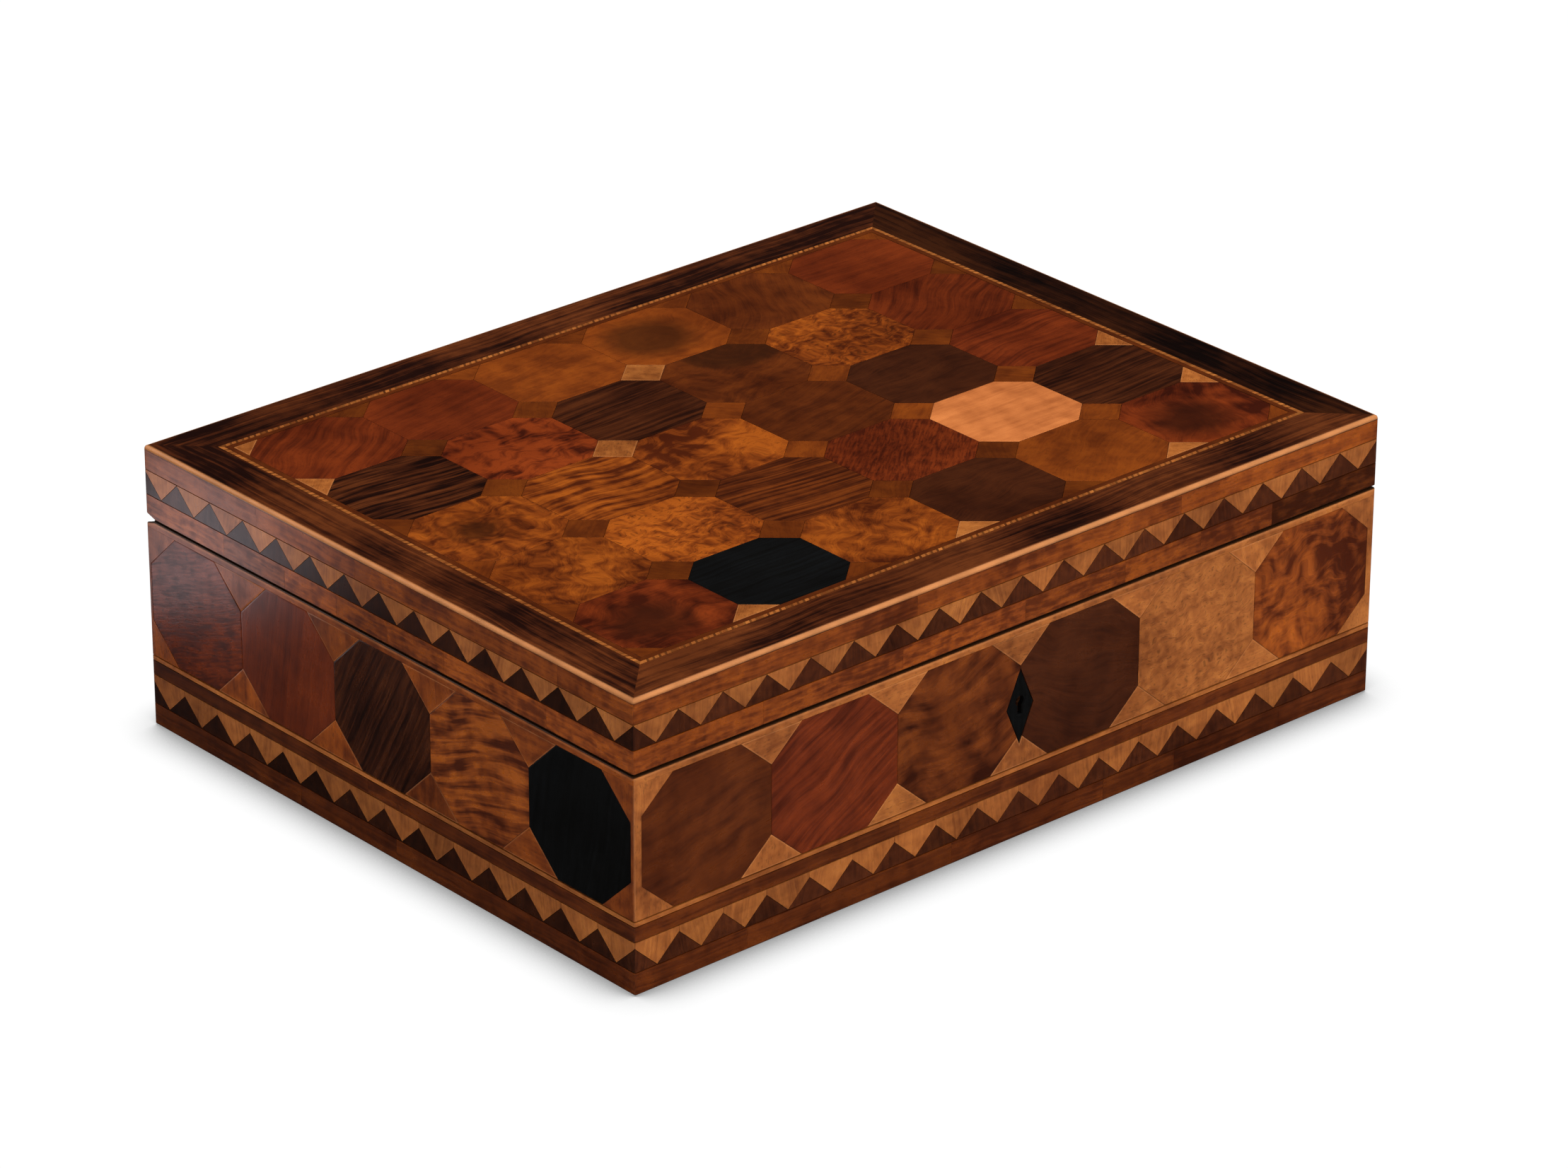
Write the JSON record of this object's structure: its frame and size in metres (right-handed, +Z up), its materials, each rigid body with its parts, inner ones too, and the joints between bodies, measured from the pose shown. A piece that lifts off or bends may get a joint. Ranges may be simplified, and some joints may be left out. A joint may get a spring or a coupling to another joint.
{
  "type": "parquetry box",
  "caption": "Low rectangular wooden box with octagon parquetry, dogtooth banding, a lozenge keyhole plate and a lid hinged at the back.",
  "frame": {"origin": "middle of the underside, between the outer faces of the veneered sides", "axes": "+X to the right along the front, +Y from the front with the keyhole to the hinged back, +Z up"},
  "size_m": [0.316, 0.2453, 0.1],
  "materials": {
    "carcass_wood": "oiled, unpolished",
    "ground_veneer": "polished satinwood and mahogany",
    "octagon_veneer": "polished mixed dark woods",
    "field_octagon_veneer": "polished mixed woods",
    "light_veneer": "polished light wood",
    "dark_tooth_veneer": "polished dark wood",
    "brown_band_veneer": "polished mahogany",
    "foot_band_veneer": "polished dark mahogany",
    "rosewood_veneer": "polished rosewood",
    "stringing_wood": "polished light and dark line",
    "ebony_wood": "polished ebony",
    "brass": "aged brass"
  },
  "bodies": {
    "base": {"base_front_board": "carcass_wood", "base_back_board": "carcass_wood", "base_left_board": "carcass_wood", "base_right_board": "carcass_wood", "base_bottom_board": "carcass_wood", "base_octagon_ground_front": "ground_veneer", "base_octagon_ground_back": "ground_veneer", "base_octagon_ground_left": "ground_veneer", "base_octagon_ground_right": "ground_veneer", "base_octagons_front_left": "octagon_veneer", "base_octagons_front_right": "octagon_veneer", "base_octagons_back": "octagon_veneer", "base_octagons_left": "octagon_veneer", "base_octagons_right": "octagon_veneer", "base_light_line": "light_veneer", "base_dogtooth_light": "light_veneer", "base_dogtooth_dark": "dark_tooth_veneer", "base_dark_band": "brown_band_veneer", "base_foot_band": "foot_band_veneer", "escutcheon": "ebony_wood", "lock": "brass", "hinge_left_lower_leaf": "brass", "hinge_left_pin": "brass", "hinge_right_lower_leaf": "brass", "hinge_right_pin": "brass"},
    "lid": {"lid_front_rail": "carcass_wood", "lid_back_rail": "carcass_wood", "lid_left_rail": "carcass_wood", "lid_right_rail": "carcass_wood", "lid_top_board": "carcass_wood", "lid_field_ground": "ground_veneer", "lid_octagons_row_1": "field_octagon_veneer", "lid_octagons_row_2": "field_octagon_veneer", "lid_octagons_row_3": "field_octagon_veneer", "lid_octagons_row_4": "field_octagon_veneer", "lid_octagons_row_5": "field_octagon_veneer", "lid_dogtooth_light": "light_veneer", "lid_dogtooth_dark": "dark_tooth_veneer", "lid_upper_band": "brown_band_veneer", "lid_lower_band": "brown_band_veneer", "lid_inner_margin": "brown_band_veneer", "lid_border_front": "rosewood_veneer", "lid_border_back": "rosewood_veneer", "lid_border_left": "rosewood_veneer", "lid_border_right": "rosewood_veneer", "lid_rope_stringing": "stringing_wood", "lock_strike": "brass", "hinge_left_upper_leaf": "brass", "hinge_right_upper_leaf": "brass"}
  },
  "joints": [
    {"name": "lid_hinge", "type": "hinge", "parent": "base", "child": "lid", "pos_m": [0, 0.1215, 0.0745], "axis": [-1, 0, 0], "range_deg": [0, 95]}
  ]
}
